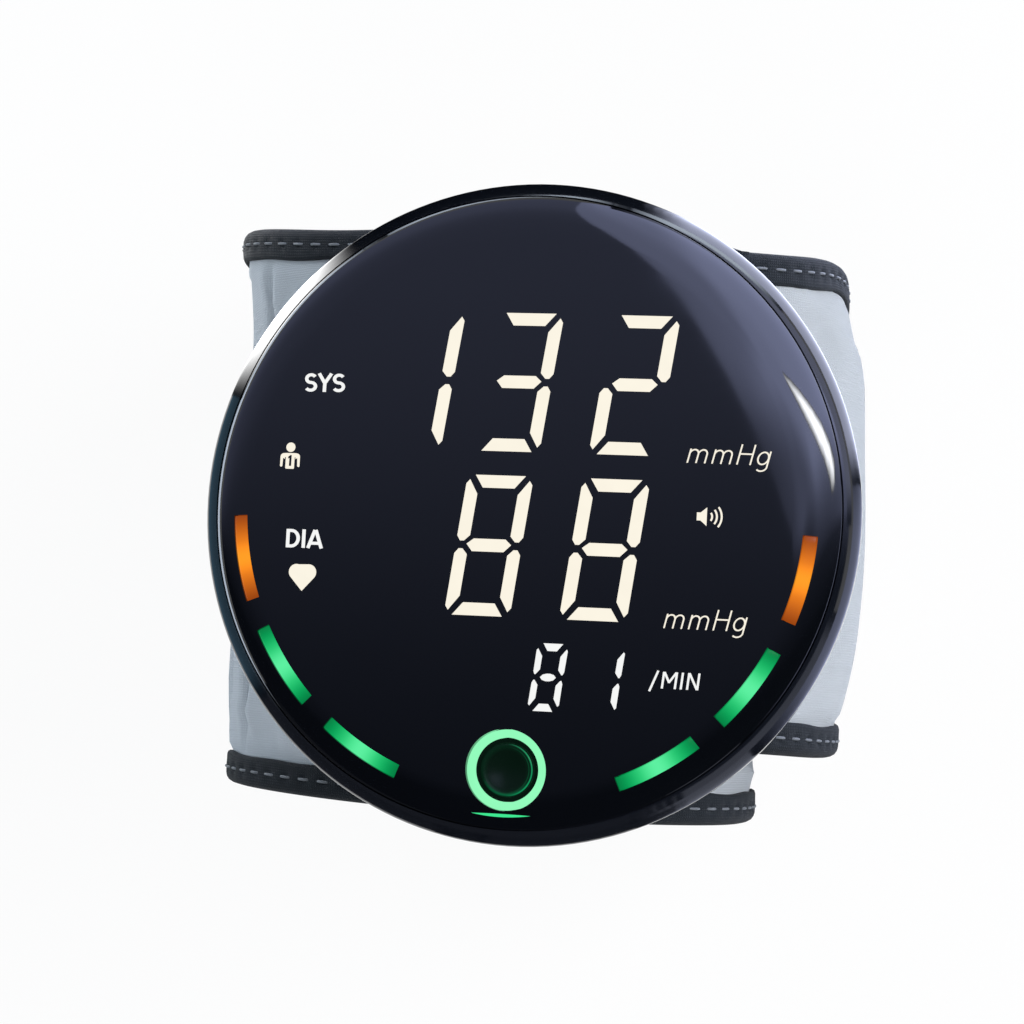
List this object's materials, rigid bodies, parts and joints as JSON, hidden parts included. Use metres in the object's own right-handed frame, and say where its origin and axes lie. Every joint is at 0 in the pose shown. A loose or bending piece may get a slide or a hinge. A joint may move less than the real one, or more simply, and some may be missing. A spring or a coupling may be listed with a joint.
{
  "type": "wrist blood pressure monitor",
  "caption": "Wrist blood pressure monitor: round glossy dial case with lit arcs and a push button, on a padded wrap cuff that closes with a hook tail.",
  "frame": {"origin": "on the flat underside of the cuff, straight below the centre of the dial", "axes": "+Z is the way the dial faces, +Y points to the hand end of the cuff, +X to the tail's side"},
  "size_m": [0.083, 0.074, 0.081],
  "materials": {
    "gloss_window": "polished dark window",
    "case_gloss": "polished black shell",
    "inner_black": "satin moulding",
    "green_light": "lit clear plastic",
    "orange_light": "lit clear plastic",
    "digit_light": "lit segments",
    "white_plastic": "satin moulding",
    "board_green": "solder mask",
    "chip_black": "moulded package",
    "bare_steel": "bright",
    "valve_brass": "turned",
    "clear_silicone": "translucent tube",
    "battery_blue": "shrink wrap",
    "cuff_cloth": "smooth loop cloth",
    "lining_cloth": "soft knit",
    "binding_cloth": "woven tape",
    "hook_tape": "hook tape"
  },
  "bodies": {
    "monitor": {"air_manifold": "white_plastic", "air_port": "white_plastic", "back_cover": "case_gloss", "battery_cell": "battery_blue", "battery_pad": "white_plastic", "board_screw_1": "bare_steel", "board_screw_2": "bare_steel", "board_screw_3": "bare_steel", "button_ring": "green_light", "button_switch": "chip_black", "case_ring": "case_gloss", "case_screw_1": "bare_steel", "case_screw_2": "bare_steel", "case_screw_3": "bare_steel", "case_screw_4": "bare_steel", "charging_socket": "bare_steel", "control_chip": "chip_black", "cuff_binding_arm": "binding_cloth", "cuff_binding_hand": "binding_cloth", "cuff_bladder": "chip_black", "cuff_cover": "cuff_cloth", "cuff_lining": "lining_cloth", "cuff_saddle": "inner_black", "display_window": "gloss_window", "led_display": "white_plastic", "led_left_1": "white_plastic", "led_left_2": "white_plastic", "led_left_3": "white_plastic", "led_right_1": "white_plastic", "led_right_2": "white_plastic", "led_right_3": "white_plastic", "light_guide_left_1": "orange_light", "light_guide_left_2": "green_light", "light_guide_left_3": "green_light", "light_guide_right_1": "orange_light", "light_guide_right_2": "green_light", "light_guide_right_3": "green_light", "light_shield": "inner_black", "main_board": "board_green", "pressure_sensor": "white_plastic", "pump_diaphragm": "chip_black", "pump_head": "inner_black", "pump_motor": "bare_steel", "pump_tube": "clear_silicone", "sensor_tube": "clear_silicone", "speaker": "chip_black", "valve_body": "chip_black", "valve_spring": "bare_steel", "valve_tube": "clear_silicone"},
    "button": {"button_cap": "gloss_window"},
    "spindle": {"pump_spindle": "bare_steel"},
    "plunger": {"valve_plunger": "valve_brass"},
    "tail": {"tail_cover": "cuff_cloth", "tail_lining": "lining_cloth", "tail_binding_hand": "binding_cloth", "tail_binding_arm": "binding_cloth", "tail_end_binding": "binding_cloth", "tail_hook_patch": "hook_tape"}
  },
  "joints": [
    {"name": "button_press", "type": "slide", "parent": "monitor", "child": "button", "axis": [0, 0, -1], "range_m": [0, 0.0006], "stiffness_N_per_m": 1500},
    {"name": "pump_turn", "type": "hinge", "parent": "monitor", "child": "spindle", "pos_m": [0, 0.0127, 0.0656], "axis": [1, 0, 0], "continuous": true},
    {"name": "valve_travel", "type": "slide", "parent": "monitor", "child": "plunger", "axis": [0, 0, -1], "range_m": [0, 0.0006], "stiffness_N_per_m": 400, "deforming": ["valve_spring"]},
    {"name": "tail_peel", "type": "hinge", "parent": "monitor", "child": "tail", "pos_m": [0.033, 0, 0.027], "axis": [0, 1, 0], "range_deg": [0, 80]}
  ]
}
